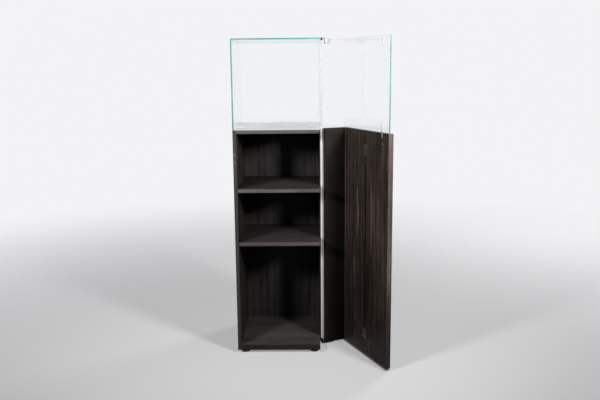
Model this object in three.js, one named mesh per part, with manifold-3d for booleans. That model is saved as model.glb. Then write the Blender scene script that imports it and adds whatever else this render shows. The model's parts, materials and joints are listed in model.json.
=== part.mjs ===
// Pedestal display case: a dark wooden cabinet with two shelves, a glass hood on its top,
// and one tall L-shaped door (front panel plus short side panel, in wood below and glass
// above) that turns on two pivots at the cabinet's right side. The door stands open.
//
// Millimetres, +Z up. In the cabinet's own frame X runs to the right seen from the front,
// Y runs from the front to the back, the front edges of the boards lie at Y = 0, the
// cabinet is centred on X = 0 and the floor is at Z = 0.

import * as THREE from 'three';
import { mergeVertices } from 'three/addons/utils/BufferGeometryUtils.js';
import Module from 'manifold-3d';

const wasm = await Module();
wasm.setup();

// ---------------------------------------------------------------- driving dimensions

const cabinetWidth = 400;
const cabinetDepth = 400;
const carcassHeight = 1022;
const hoodHeight = 394;
const boardThickness = 16;
const baseBoardThickness = 26;
const backThickness = 16;
const glassThickness = 6;
const deckThickness = 4;
const doorThickness = 22;

const footHeight = 15;
const footDiameter = 40;
const footInsetLeft = 34;
const footInsetRight = 45;
const footInsetFront = 32;
const footInsetBack = 36;
const footBevel = 2;

const upperBayHeight = 247;
const middleBayHeight = 229;
const shelfSideClearance = 1.5;
const shelfBackClearance = 0.5;

const sideSetback = 105;
const doorFrontGap = 3;
const doorFreeEdgeReveal = 2;
const doorTopGap = 2;
const doorBoardClearance = 1.5;
const openAngle = 115;

const axisAheadOfSide = 3;
const sidePanelAxisGap = 0.5;
const pinDiameter = 5;
const earRadius = 6;
const earRelief = 0.6;
const pivotPlateThickness = 3;
const washerThickness = 0.8;
const washerPlay = 0.1;
const bracketWidth = 12;
const flangeStart = 20;
const flangeLength = 40;
const flangeScrewInsets = { front: 14, back: 8 };
const shoeWidth = 14;
const shoeLength = 47;
const shoeScrewInsets = { front: 36, back: 18 };
const roofBracketInset = 2;
const roofBracketLength = 45;
const clampCheekThickness = 2;
const clampCheekLength = 24;
const clampCheekEndGap = 8;
const clampCheekDrop = 18;
const runningClearance = 0.15;
const seatGap = 0.3;
const overcut = 1;

const sealWidth = 12;
const sealThickness = 2;
const sealCrown = 0.5;
const sealFootGap = 16;
const sealHeadGap = 8;

const hoodNotchWidth = 10;

const shelfPinDiameter = 5;
const shelfPinDepth = 8;
const shelfPinReach = 7;
const shelfPinFrontInset = 50;
const shelfPinBehindEdge = 25;
const shelfPinBackInset = 50;

const straightenerBelowTop = 63;
const straightenerAboveBottom = 73;
const straightenerEndWidth = 38;
const straightenerEndHeight = 48;
const straightenerDepth = 10;
const straightenerTowardsFree = 4;
const rodTowardsFree = 6;
const grooveWidth = 11;
const rodDiameter = 7;
const rodEngagement = 12;
const straightenerScrewPitch = 30;

const edgeStripHeight = 9;
const edgeStripInset = 2;

const catchBelowTop = 126;
const catchWidth = 12;
const catchHeight = 48;
const catchThickness = 3;
const catchScrewPitch = 34;
const keeperThickness = 1.2;
const keeperMargin = 1;

const clampInset = 54;
const clampWidth = 8;
const clampThickness = 1.5;
const clampBelowTop = 22;
const clampAboveTop = 64;
const upperClampHeight = 42;
const upperClampTopInset = 2;
const clampCapDiameter = 9;
const clampCapThickness = 1.2;
const clampCapBelowTop = 46;

const screwHeadDiameter = 6;
const screwShankDiameter = 3.2;
const screwLength = 12;
const screwHeadHeight = 0.6;

const footSides = 32;
const barSides = 24;
const pinSides = 16;
const shankSides = 12;
const crownSteps = 8;

// ---------------------------------------------------------------- derived levels and faces

const carcassBottom = footHeight;
const woodTop = carcassBottom + carcassHeight;
const deckTop = woodTop + deckThickness;
const roofTop = woodTop + hoodHeight;
const roofUnderside = roofTop - glassThickness;
const baseBoardTop = carcassBottom + baseBoardThickness;
const topBoardUnderside = woodTop - boardThickness;
const upperShelfTop = topBoardUnderside - upperBayHeight;
const upperShelfUnderside = upperShelfTop - boardThickness;
const lowerShelfTop = upperShelfUnderside - middleBayHeight;
const lowerShelfUnderside = lowerShelfTop - boardThickness;

const leftFace = -cabinetWidth / 2;
const rightFace = cabinetWidth / 2;
const leftInner = leftFace + boardThickness;
const rightInner = rightFace - boardThickness;
const backInner = cabinetDepth - backThickness;
const doorZoneEnd = rightInner - doorBoardClearance;

const axisX = rightFace;
const axisY = sideSetback - axisAheadOfSide;
const doorInner = -doorFrontGap;
const doorOuter = doorInner - doorThickness;
const doorFree = leftFace + doorFreeEdgeReveal;
const doorWoodTop = woodTop - doorTopGap;
const sidePanelEnd = axisY - sidePanelAxisGap;
const clampPlateTop = roofTop - washerThickness - 2 * washerPlay;
const clampPlateUnderside = clampPlateTop - pivotPlateThickness;
const sideGlassTop = clampPlateUnderside - seatGap;
const panelCentre = (doorFree + rightFace) / 2;
const pinRadius = pinDiameter / 2;
const bearingRadius = pinRadius + runningClearance;

// ---------------------------------------------------------------- materials

function finish(colour, roughness, metalness = 0, opacity = 1) {
  return new THREE.MeshStandardMaterial({
    color: colour,
    roughness,
    metalness,
    opacity,
    transparent: opacity < 1,
  });
}

const smokedWood = finish(0x2a2220, 0.42);
const doorWood = finish(0x2f2624, 0.42);
const clearGlass = finish(0xdcefeb, 0.04, 0, 0.25);
const paleDeck = finish(0xe4e5ea, 0.35);
const whiteSeal = finish(0xe6e5e0, 0.55);
const greyStrip = finish(0x9a9a9c, 0.5);
const blackSteel = finish(0x1d1d20, 0.45, 0.8);
const brightSteel = finish(0xc4c6ca, 0.28, 1);
const blackPlastic = finish(0x111113, 0.6);
const paleNylon = finish(0xd9d6cc, 0.5);
const bronzePlate = finish(0x3c332e, 0.4, 0.6);

// ---------------------------------------------------------------- shape helpers

function boxAt(x, y, z) {
  const geometry = new THREE.BoxGeometry(x[1] - x[0], y[1] - y[0], z[1] - z[0]);
  return geometry.translate((x[0] + x[1]) / 2, (y[0] + y[1]) / 2, (z[0] + z[1]) / 2);
}

// A round bar from one end point to the other, along any axis.
function barBetween(start, end, radius, sides = barSides) {
  const from = new THREE.Vector3(...start);
  const along = new THREE.Vector3(...end).sub(from);
  const geometry = new THREE.CylinderGeometry(radius, radius, along.length(), sides);
  const turn = new THREE.Quaternion();
  turn.setFromUnitVectors(new THREE.Vector3(0, 1, 0), along.clone().normalize());
  geometry.applyQuaternion(turn);
  const middle = from.addScaledVector(along, 0.5);
  return geometry.translate(middle.x, middle.y, middle.z);
}

function uprightBar(x, y, z, radius, sides = barSides) {
  return barBetween([x, y, z[0]], [x, y, z[1]], radius, sides);
}

function toSolid(geometry) {
  const bare = new THREE.BufferGeometry();
  bare.setAttribute('position', geometry.getAttribute('position'));
  if (geometry.index) {
    bare.setIndex(geometry.index);
  }
  const merged = mergeVertices(bare);
  return new wasm.Manifold(new wasm.Mesh({
    numProp: 3,
    vertProperties: new Float32Array(merged.getAttribute('position').array),
    triVerts: new Uint32Array(merged.index.array),
  }));
}

function toGeometry(solid) {
  const mesh = solid.getMesh();
  const geometry = new THREE.BufferGeometry();
  geometry.setAttribute('position', new THREE.BufferAttribute(mesh.vertProperties, 3));
  geometry.setIndex(new THREE.BufferAttribute(mesh.triVerts, 1));
  geometry.computeVertexNormals();
  return geometry;
}

function fuse(...geometries) {
  const joined = geometries.map(toSolid).reduce((whole, piece) => whole.add(piece));
  return toGeometry(joined);
}

function carve(geometry, ...tools) {
  const left = tools.map(toSolid).reduce((rest, tool) => rest.subtract(tool), toSolid(geometry));
  return toGeometry(left);
}

function addPiece(parent, name, geometry, material) {
  const mesh = new THREE.Mesh(geometry, material);
  mesh.name = name;
  parent.add(mesh);
  return mesh;
}

// A plain rectangular piece, given by its two ends along each axis.
function addBoard(parent, name, x, y, z, material) {
  const geometry = new THREE.BoxGeometry(x[1] - x[0], y[1] - y[0], z[1] - z[0]);
  const mesh = addPiece(parent, name, geometry, material);
  mesh.position.set((x[0] + x[1]) / 2, (y[0] + y[1]) / 2, (z[0] + z[1]) / 2);
  return mesh;
}

// A screw whose head lies on `face` and whose shank runs along `direction`.
function screwShape(face, direction) {
  const seat = new THREE.Vector3(...face);
  const way = new THREE.Vector3(...direction);
  const shankEnd = seat.clone().addScaledVector(way, screwLength).toArray();
  const headTop = seat.clone().addScaledVector(way, -screwHeadHeight).toArray();
  const shank = barBetween(headTop, shankEnd, screwShankDiameter / 2, shankSides);
  const head = barBetween(headTop, seat.toArray(), screwHeadDiameter / 2, pinSides);
  return fuse(shank, head);
}

function screwHole(face, direction) {
  const way = new THREE.Vector3(...direction);
  const start = new THREE.Vector3(...face).addScaledVector(way, -overcut);
  const end = new THREE.Vector3(...face).addScaledVector(way, screwLength + seatGap);
  const radius = screwShankDiameter / 2 + runningClearance;
  return barBetween(start.toArray(), end.toArray(), radius, shankSides);
}

// ---------------------------------------------------------------- cabinet

const cabinet = new THREE.Group();

const shelfPinRows = {
  left: [shelfPinFrontInset, backInner - shelfPinBackInset],
  right: [sideSetback + shelfPinBehindEdge, backInner - shelfPinBackInset],
};
const shelfUndersides = { upper: upperShelfUnderside, lower: lowerShelfUnderside };
const shelfPinRadius = shelfPinDiameter / 2;

function shelfPinEnds(side, y, underside, extra) {
  const wall = side === 'left' ? leftInner : rightInner;
  const outward = side === 'left' ? -1 : 1;
  const z = underside - shelfPinRadius;
  const deep = wall + outward * (shelfPinDepth + extra);
  const tip = wall - outward * shelfPinReach;
  return [[deep, y, z], [tip, y, z]];
}

function shelfPinHoles(side) {
  const holes = [];
  for (const underside of Object.values(shelfUndersides)) {
    for (const y of shelfPinRows[side]) {
      const [deep, tip] = shelfPinEnds(side, y, underside, seatGap);
      holes.push(barBetween(deep, tip, shelfPinRadius + runningClearance, pinSides));
    }
  }
  return holes;
}

const catchCentreX = leftFace + boardThickness / 2;
const catchCentreZ = woodTop - catchBelowTop;
const catchX = [catchCentreX - catchWidth / 2, catchCentreX + catchWidth / 2];
const catchZ = [catchCentreZ - catchHeight / 2, catchCentreZ + catchHeight / 2];
const catchScrewLevels = {
  upper: catchCentreZ + catchScrewPitch / 2,
  lower: catchCentreZ - catchScrewPitch / 2,
};
const intoCabinet = [0, 1, 0];
const upwards = [0, 0, 1];

const catchPocket = boxAt(catchX, [-overcut, catchThickness], catchZ);
const catchHoles = Object.values(catchScrewLevels).map((z) => (
  screwHole([catchCentreX, 0, z], intoCabinet)
));
const leftPanelBlank = boxAt([leftFace, leftInner], [0, cabinetDepth], [carcassBottom, woodTop]);
const leftPanel = carve(leftPanelBlank, catchPocket, ...catchHoles, ...shelfPinHoles('left'));
addPiece(cabinet, 'left_side_panel', leftPanel, smokedWood);

const flangeFront = sideSetback + flangeStart;
const flangeBack = flangeFront + flangeLength;
const bracketScrewRows = {
  front: flangeFront + flangeScrewInsets.front,
  back: flangeBack - flangeScrewInsets.back,
};
const bracketScrewX = rightFace - bracketWidth / 2;
const flangeUnderside = carcassBottom - pivotPlateThickness;
const bracketHoles = Object.values(bracketScrewRows).map((y) => (
  screwHole([bracketScrewX, y, flangeUnderside], upwards)
));
const rightPanelBlank = boxAt(
  [rightInner, rightFace],
  [sideSetback, cabinetDepth],
  [carcassBottom, woodTop],
);
const rightPanel = carve(rightPanelBlank, ...bracketHoles, ...shelfPinHoles('right'));
addPiece(cabinet, 'right_side_panel', rightPanel, smokedWood);

addBoard(
  cabinet,
  'back_panel',
  [leftInner, rightInner],
  [backInner, cabinetDepth],
  [carcassBottom, woodTop],
  smokedWood,
);

// The base and top boards are cut back beside the door's side panel.
function notchedBoard(z) {
  const front = boxAt([leftInner, doorZoneEnd], [0, backInner], z);
  const rear = boxAt([leftInner, rightInner], [sideSetback, backInner], z);
  return fuse(front, rear);
}

addPiece(cabinet, 'base_board', notchedBoard([carcassBottom, baseBoardTop]), smokedWood);
addPiece(cabinet, 'top_board', notchedBoard([topBoardUnderside, woodTop]), smokedWood);

const shelfX = [leftInner + shelfSideClearance, rightInner - shelfSideClearance];
const shelfY = [0, backInner - shelfBackClearance];
addBoard(cabinet, 'upper_shelf', shelfX, shelfY, [upperShelfUnderside, upperShelfTop], smokedWood);
addBoard(cabinet, 'lower_shelf', shelfX, shelfY, [lowerShelfUnderside, lowerShelfTop], smokedWood);

for (const [level, underside] of Object.entries(shelfUndersides)) {
  for (const side of ['left', 'right']) {
    shelfPinRows[side].forEach((y, row) => {
      const [deep, tip] = shelfPinEnds(side, y, underside, 0);
      const place = row === 0 ? 'front' : 'back';
      const pin = barBetween(deep, tip, shelfPinRadius, pinSides);
      addPiece(cabinet, `${level}_shelf_pin_${side}_${place}`, pin, brightSteel);
    });
  }
}

// A round glide with a small bevel at the floor.
function footShape() {
  const radius = footDiameter / 2;
  const profile = [
    new THREE.Vector2(0, 0),
    new THREE.Vector2(radius - footBevel, 0),
    new THREE.Vector2(radius, footBevel),
    new THREE.Vector2(radius, footHeight),
    new THREE.Vector2(0, footHeight),
  ];
  return new THREE.LatheGeometry(profile, footSides).rotateX(Math.PI / 2);
}

const footPlaces = {
  front_left: [leftFace + footInsetLeft, footInsetFront],
  front_right: [rightFace - footInsetRight, footInsetFront],
  back_left: [leftFace + footInsetLeft, cabinetDepth - footInsetBack],
  back_right: [rightFace - footInsetRight, cabinetDepth - footInsetBack],
};
for (const [place, [x, y]] of Object.entries(footPlaces)) {
  addPiece(cabinet, `foot_${place}`, footShape(), blackPlastic).position.set(x, y, 0);
}

const catchPlate = carve(boxAt(catchX, [0, catchThickness], catchZ), ...catchHoles);
addPiece(cabinet, 'catch_plate', catchPlate, bronzePlate);
for (const [place, z] of Object.entries(catchScrewLevels)) {
  const screw = screwShape([catchCentreX, 0, z], intoCabinet);
  addPiece(cabinet, `catch_screw_${place}`, screw, brightSteel);
}

// ---------------------------------------------------------------- glass hood

const hoodInnerLeft = leftFace + glassThickness;
const hoodInnerRight = rightFace - glassThickness;
const hoodInnerBack = cabinetDepth - glassThickness;
const hoodNotchX = rightFace - hoodNotchWidth;

addBoard(
  cabinet,
  'display_deck',
  [hoodInnerLeft + seatGap, rightFace - sealWidth - seatGap],
  [0, hoodInnerBack - seatGap],
  [woodTop, deckTop],
  paleDeck,
);
addBoard(
  cabinet,
  'left_glass',
  [leftFace, hoodInnerLeft],
  [0, hoodInnerBack],
  [woodTop, roofUnderside],
  clearGlass,
);
addBoard(
  cabinet,
  'right_glass',
  [hoodInnerRight, rightFace],
  [sideSetback, hoodInnerBack],
  [woodTop, roofUnderside],
  clearGlass,
);
addBoard(
  cabinet,
  'back_glass',
  [leftFace, rightFace],
  [hoodInnerBack, cabinetDepth],
  [woodTop, roofUnderside],
  clearGlass,
);

const roofZ = [roofUnderside, roofTop];
const roofCutZ = [roofUnderside - overcut, roofTop + overcut];
const roofNotch = boxAt([hoodNotchX, rightFace + overcut], [-overcut, sideSetback], roofCutZ);
const roofEarRelief = uprightBar(axisX, axisY, roofCutZ, earRadius + earRelief);
const roofBlank = boxAt([leftFace, rightFace], [0, cabinetDepth], roofZ);
addPiece(cabinet, 'roof_glass', carve(roofBlank, roofNotch, roofEarRelief), clearGlass);

// ---------------------------------------------------------------- seal on the hinge side

// One soft strip up the right side panel's front edge and the fixed pane's front edge.
function sealShape() {
  const outline = new THREE.Shape();
  outline.moveTo(rightFace - sealWidth, sideSetback);
  outline.lineTo(rightFace - sealWidth, sideSetback - sealThickness);
  outline.quadraticCurveTo(
    rightFace - sealWidth / 2,
    sideSetback - sealThickness - 2 * sealCrown,
    rightFace,
    sideSetback - sealThickness,
  );
  outline.lineTo(rightFace, sideSetback);
  outline.closePath();
  const bottom = carcassBottom + sealFootGap;
  const top = roofTop - sealHeadGap;
  const settings = { depth: top - bottom, bevelEnabled: false, curveSegments: crownSteps };
  return new THREE.ExtrudeGeometry(outline, settings).translate(0, 0, bottom);
}

addPiece(cabinet, 'hinge_side_seal', sealShape(), whiteSeal);

// ---------------------------------------------------------------- fixed half of the pivots

function pinHole(z) {
  return uprightBar(axisX, axisY, [z[0] - overcut, z[1] + overcut], bearingRadius);
}

function washerShape(z) {
  return carve(uprightBar(axisX, axisY, z, earRadius - earRelief), pinHole(z));
}

const shoeTop = carcassBottom - seatGap;
const shoeUnderside = shoeTop - pivotPlateThickness;
const lowerWasherTop = shoeUnderside - washerPlay;
const earTop = lowerWasherTop - washerThickness;
const earUnderside = earTop - pivotPlateThickness;
const bracketX = [rightFace - bracketWidth, rightFace];
const webY = [flangeFront, flangeFront + pivotPlateThickness];

// The lower bracket is screwed under the side panel and steps down to carry the pin.
const lowerBracketBlank = fuse(
  uprightBar(axisX, axisY, [earUnderside, earTop], earRadius),
  boxAt(bracketX, [axisY, webY[1]], [earUnderside, earTop]),
  boxAt(bracketX, webY, [earUnderside, carcassBottom]),
  boxAt(bracketX, [flangeFront, flangeBack], [flangeUnderside, carcassBottom]),
);
const lowerBracket = carve(lowerBracketBlank, pinHole([earUnderside, earTop]), ...bracketHoles);
addPiece(cabinet, 'lower_pivot_bracket', lowerBracket, blackSteel);
const lowerPin = uprightBar(axisX, axisY, [earUnderside, shoeTop], pinRadius);
addPiece(cabinet, 'lower_pivot_pin', lowerPin, brightSteel);
addPiece(cabinet, 'lower_pivot_washer', washerShape([earTop, lowerWasherTop]), paleNylon);
for (const [place, y] of Object.entries(bracketScrewRows)) {
  const screw = screwShape([bracketScrewX, y, flangeUnderside], upwards);
  addPiece(cabinet, `lower_bracket_screw_${place}`, screw, brightSteel);
}

// The upper bracket lies on the roof pane and reaches forward over the axis.
const upperBracketZ = [roofTop, roofTop + pivotPlateThickness];
const upperBracketX = [
  rightFace - roofBracketInset - bracketWidth,
  rightFace - roofBracketInset,
];
const upperBracketBlank = fuse(
  uprightBar(axisX, axisY, upperBracketZ, earRadius),
  boxAt(upperBracketX, [axisY, axisY + roofBracketLength], upperBracketZ),
);
const upperBracket = carve(upperBracketBlank, pinHole(upperBracketZ));
addPiece(cabinet, 'upper_pivot_bracket', upperBracket, blackSteel);
const upperPin = uprightBar(axisX, axisY, [clampPlateUnderside, upperBracketZ[1]], pinRadius);
addPiece(cabinet, 'upper_pivot_pin', upperPin, brightSteel);
const upperWasherZ = [clampPlateTop + washerPlay, roofTop - washerPlay];
addPiece(cabinet, 'upper_pivot_washer', washerShape(upperWasherZ), paleNylon);

// ---------------------------------------------------------------- door

// The door is drawn closed, then turned about the pivot axis to its open place.
const door = new THREE.Group();
door.position.set(axisX, axisY, 0);
door.rotation.z = THREE.MathUtils.degToRad(openAngle);
const closedDoor = new THREE.Group();
closedDoor.position.set(-axisX, -axisY, 0);
door.add(closedDoor);

const outOfCabinet = [0, -1, 0];

// Straightener: a rod in a groove down the front panel, between two blocks near its middle.
const blockCentre = panelCentre - straightenerTowardsFree;
const rodX = blockCentre - rodTowardsFree;
const straightenerHigh = woodTop - straightenerBelowTop;
const straightenerLow = carcassBottom + straightenerAboveBottom;
const endX = [blockCentre - straightenerEndWidth / 2, blockCentre + straightenerEndWidth / 2];
const endLevels = {
  upper: [straightenerHigh - straightenerEndHeight, straightenerHigh],
  lower: [straightenerLow, straightenerLow + straightenerEndHeight],
};
const grooveFloor = doorInner - straightenerDepth - seatGap;
const recessY = [grooveFloor, doorInner + overcut];
const rodY = doorInner - straightenerDepth / 2;
const rodZ = [endLevels.lower[1] - rodEngagement, endLevels.upper[0] + rodEngagement];

const endScrewX = {
  left: blockCentre - straightenerScrewPitch / 2,
  right: blockCentre + straightenerScrewPitch / 2,
};

function endScrewFaces(level) {
  const middle = (endLevels[level][0] + endLevels[level][1]) / 2;
  return Object.entries(endScrewX).map(([side, x]) => [side, [x, doorInner, middle]]);
}

function endScrewHoles(level) {
  return endScrewFaces(level).map(([, face]) => screwHole(face, outOfCabinet));
}

const clampX = doorFree + clampInset;
const clampFace = doorInner + seatGap + clampThickness;
const lowerClampScrewFace = [clampX, clampFace, doorWoodTop - clampBelowTop / 2];
const lowerClampHole = screwHole(lowerClampScrewFace, outOfCabinet);

const frontPanelBlank = boxAt(
  [doorFree, rightFace],
  [doorOuter, doorInner],
  [carcassBottom, doorWoodTop],
);
const frontPanel = carve(
  frontPanelBlank,
  boxAt(
    [rodX - grooveWidth / 2, rodX + grooveWidth / 2],
    recessY,
    [straightenerLow + overcut, straightenerHigh - overcut],
  ),
  boxAt(endX, recessY, endLevels.upper),
  boxAt(endX, recessY, endLevels.lower),
  ...endScrewHoles('upper'),
  ...endScrewHoles('lower'),
  lowerClampHole,
);
addPiece(closedDoor, 'front_door_panel', frontPanel, doorWood);

const shoeY = [sidePanelEnd - shoeLength, sidePanelEnd];
const shoeScrewX = rightFace - shoeWidth / 2;
const shoeHoles = Object.values(shoeScrewInsets).map((inset) => (
  screwHole([shoeScrewX, sidePanelEnd - inset, shoeUnderside], upwards)
));
const sidePanelBlank = boxAt(
  [rightInner, rightFace],
  [doorInner + seatGap, sidePanelEnd],
  [carcassBottom, doorWoodTop],
);
addPiece(closedDoor, 'side_door_panel', carve(sidePanelBlank, ...shoeHoles), doorWood);

for (const [level, z] of Object.entries(endLevels)) {
  const block = boxAt(
    [endX[0] + seatGap, endX[1] - seatGap],
    [grooveFloor + seatGap, doorInner],
    [z[0] + seatGap, z[1] - seatGap],
  );
  const rodSocket = uprightBar(
    rodX,
    rodY,
    [rodZ[0] - seatGap, rodZ[1] + seatGap],
    rodDiameter / 2 + runningClearance,
    pinSides,
  );
  const shape = carve(block, rodSocket, ...endScrewHoles(level));
  addPiece(closedDoor, `straightener_end_${level}`, shape, bronzePlate);
  for (const [side, face] of endScrewFaces(level)) {
    const screw = screwShape(face, outOfCabinet);
    addPiece(closedDoor, `straightener_screw_${level}_${side}`, screw, blackSteel);
  }
}
const rod = uprightBar(rodX, rodY, rodZ, rodDiameter / 2, pinSides);
addPiece(closedDoor, 'straightener_rod', rod, blackSteel);

addBoard(
  closedDoor,
  'bottom_edge_strip',
  [doorFree + edgeStripInset, rightFace - edgeStripInset],
  [doorOuter + edgeStripInset, doorInner],
  [carcassBottom - seatGap - edgeStripHeight, carcassBottom - seatGap],
  greyStrip,
);

addBoard(
  closedDoor,
  'front_door_glass',
  [doorFree, rightFace],
  [doorInner - glassThickness, doorInner],
  [doorWoodTop + seatGap, roofTop],
  clearGlass,
);

// Pivot clamp on the side pane's upper corner: two cheeks, a top plate and a bored ear.
const innerCheekX = [
  hoodInnerRight - seatGap - clampCheekThickness,
  hoodInnerRight - seatGap,
];
const outerCheekX = [rightFace + seatGap, rightFace + seatGap + clampCheekThickness];
const cheekEnd = axisY - clampCheekEndGap;
const cheekY = [cheekEnd - clampCheekLength, cheekEnd];
const cheekZ = [sideGlassTop - clampCheekDrop, clampPlateTop];
const clampPlateZ = [clampPlateUnderside, clampPlateTop];
const pivotClampBlank = fuse(
  boxAt(innerCheekX, cheekY, cheekZ),
  boxAt(outerCheekX, cheekY, cheekZ),
  boxAt([innerCheekX[0], outerCheekX[1]], cheekY, clampPlateZ),
  boxAt([hoodInnerRight, rightFace], [cheekY[0], axisY], clampPlateZ),
  uprightBar(axisX, axisY, clampPlateZ, earRadius),
);
const clampBoltFace = [
  outerCheekX[1],
  cheekEnd - clampCheekLength / 2,
  sideGlassTop - clampCheekDrop / 2,
];
const intoPane = [-1, 0, 0];
const clampBoltHole = screwHole(clampBoltFace, intoPane);
const pivotClamp = carve(pivotClampBlank, pinHole(clampPlateZ), clampBoltHole);
addPiece(closedDoor, 'upper_pivot_clamp', pivotClamp, brightSteel);
addPiece(closedDoor, 'upper_clamp_screw', screwShape(clampBoltFace, intoPane), brightSteel);

const sideGlass = boxAt(
  [hoodInnerRight, rightFace],
  [doorInner + seatGap, sidePanelEnd],
  [doorWoodTop + seatGap, sideGlassTop],
);
addPiece(closedDoor, 'side_door_glass', carve(sideGlass, clampBoltHole), clearGlass);

// Pivot shoe under the side panel: a flat plate whose ear turns on the lower pin.
const shoeZ = [shoeUnderside, shoeTop];
const shoeBlank = fuse(
  boxAt([rightFace - shoeWidth, rightFace], shoeY, shoeZ),
  uprightBar(axisX, axisY, shoeZ, earRadius),
);
addPiece(closedDoor, 'lower_pivot_shoe', carve(shoeBlank, pinHole(shoeZ), ...shoeHoles), blackSteel);
for (const [place, inset] of Object.entries(shoeScrewInsets)) {
  const screw = screwShape([shoeScrewX, sidePanelEnd - inset, shoeUnderside], upwards);
  addPiece(closedDoor, `shoe_screw_${place}`, screw, brightSteel);
}

// Small fittings on the inner face.
const fittingY = [doorInner + seatGap, clampFace];
const clampSpanX = [clampX - clampWidth / 2, clampX + clampWidth / 2];
const lowerClamp = carve(
  boxAt(clampSpanX, fittingY, [doorWoodTop - clampBelowTop, doorWoodTop + clampAboveTop]),
  lowerClampHole,
);
addPiece(closedDoor, 'glass_clamp_lower', lowerClamp, brightSteel);
const lowerClampScrew = screwShape(lowerClampScrewFace, outOfCabinet);
addPiece(closedDoor, 'glass_clamp_screw', lowerClampScrew, brightSteel);
const upperClampTop = roofTop - upperClampTopInset;
addBoard(
  closedDoor,
  'glass_clamp_upper',
  clampSpanX,
  fittingY,
  [upperClampTop - upperClampHeight, upperClampTop],
  brightSteel,
);
const capZ = doorWoodTop - clampCapBelowTop;
const cap = barBetween(
  [clampX, doorInner + seatGap, capZ],
  [clampX, doorInner + seatGap + clampCapThickness, capZ],
  clampCapDiameter / 2,
);
addPiece(closedDoor, 'clamp_cover_cap', cap, greyStrip);
addBoard(
  closedDoor,
  'catch_keeper',
  [doorFree + keeperMargin, catchX[1] - keeperMargin],
  [doorInner + seatGap, doorInner + seatGap + keeperThickness],
  catchZ,
  bronzePlate,
);

// ---------------------------------------------------------------- whole object

// The origin is at floor level, below the middle of the object's box.
const displayCase = new THREE.Group();
displayCase.add(cabinet, door);
const extent = new THREE.Box3().setFromObject(displayCase, true);
const middle = extent.getCenter(new THREE.Vector3());
displayCase.position.set(-middle.x, -middle.y, -extent.min.z);
displayCase.updateMatrixWorld(true);

export default displayCase;
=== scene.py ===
# %% [markdown]
# # A pedestal display case with its door open
#
# The real thing is a narrow cabinet in dark smoked veneer, with a glass hood on top for the
# exhibit, and one tall L-shaped door that closes the front of both.
#
# The construction is already there, as a frame of plain solids. We could model the case from
# scratch, but then nothing would be sure to fit. So we dress the frame: boards get eased edges
# and veneer, panes a ground green edge, and fittings their metal. We load it first and measure
# it, because each later cell takes its sizes from it.

# %% Load the frame
import json
import math

import bmesh
import bpy
from mathutils import Matrix, Vector


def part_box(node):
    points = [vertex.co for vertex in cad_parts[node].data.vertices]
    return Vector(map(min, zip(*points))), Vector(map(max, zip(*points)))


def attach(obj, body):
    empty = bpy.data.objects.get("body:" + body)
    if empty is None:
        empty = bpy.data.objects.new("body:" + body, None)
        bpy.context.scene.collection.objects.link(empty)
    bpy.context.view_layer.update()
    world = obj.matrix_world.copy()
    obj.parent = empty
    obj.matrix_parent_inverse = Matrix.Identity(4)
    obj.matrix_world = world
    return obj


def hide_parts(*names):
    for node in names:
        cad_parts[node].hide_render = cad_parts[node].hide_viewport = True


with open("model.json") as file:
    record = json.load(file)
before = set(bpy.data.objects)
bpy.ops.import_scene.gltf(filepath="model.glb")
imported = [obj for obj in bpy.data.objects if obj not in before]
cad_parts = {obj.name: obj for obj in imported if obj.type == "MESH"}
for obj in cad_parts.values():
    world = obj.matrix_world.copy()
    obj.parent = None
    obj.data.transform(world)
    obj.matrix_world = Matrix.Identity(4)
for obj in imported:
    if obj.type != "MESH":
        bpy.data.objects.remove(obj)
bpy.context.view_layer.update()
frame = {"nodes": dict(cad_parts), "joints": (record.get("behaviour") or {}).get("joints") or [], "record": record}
record = frame["record"]
body_of_node = {
    node: body for body, nodes in record["behaviour"]["bodies"].items() for node in nodes
}
slot_of_node = {part["node"]: part["material_slot"] for part in record["subparts"]}
print("nodes in the frame:", len(frame["nodes"]))

# %% [markdown]
# ## Where the door stands
#
# The door is shown open, so its boards lie turned, and "along the panel" is no longer an axis.
# Turning each piece by hand and back would be clumsy. Here one matrix does it for all: `opened`
# turns the shut door to where it is now, and `closed` turns any point of it back. Both come from
# the hinge that the frame names, so they stay right at another angle.

# %% Turn the door back in thought
MM = 0.001

hinge = frame["joints"][0]
hinge_point = Vector(hinge["pos_m"])
open_turn = math.radians(-hinge["range_deg"][0])
opened = (
    Matrix.Translation(hinge_point)
    @ Matrix.Rotation(open_turn, 4, "Z")
    @ Matrix.Translation(-hinge_point)
)
closed = opened.inverted()


def home_of(node):
    """The matrix from a piece's own square axes to its place in the frame."""
    return opened if body_of_node[node] == "door" else Matrix.Identity(4)


print("door opened by:", round(math.degrees(open_turn), 1), "degrees")

# %% Measure a piece along its own axes
def extent(points):
    """The lowest and highest corner of the box around some points."""
    low = Vector([min(p[axis] for p in points) for axis in range(3)])
    high = Vector([max(p[axis] for p in points) for axis in range(3)])
    return low, high


def own_points(node):
    """A node's vertices along its own square axes."""
    back = home_of(node).inverted()
    return [back @ v.co for v in frame["nodes"][node].data.vertices]


def square_box(node):
    """The lowest and highest corner of a node along its own square axes."""
    return extent(own_points(node))


panel_low, panel_high = square_box("front_door_panel")
print("door panel:", [round(v, 4) for v in panel_high - panel_low], "m")

# %% [markdown]
# ## The camera
#
# To compare a model with a photograph, the camera has to stand at the photograph's own viewpoint.
# We measure from `front_middle`, the middle of the boards' front edges at floor height, because
# those edges are the easiest to find in the picture.
#
# The lens, the place and the three turns come from lining up straight edges of the case with the
# picture. A rotation could be copied from the viewport, but a row of single turns shows what each
# angle does. A camera starts out looking down, so the first turn about X makes it look level.

# %% Stand the camera at the photograph's viewpoint
left_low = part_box("left_side_panel")[0]
right_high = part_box("right_side_panel")[1]
front_middle = Vector(((left_low.x + right_high.x) / 2, left_low.y, 0.0))

EYE_RIGHT, EYE_BEFORE, EYE_HEIGHT = 0.1366, 3.1005, 1.3096
YAW, PITCH, ROLL = math.radians(-0.78), math.radians(-10.69), math.radians(-0.55)
SENSOR_WIDTH = 36.0
LENS = 42.41


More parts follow.
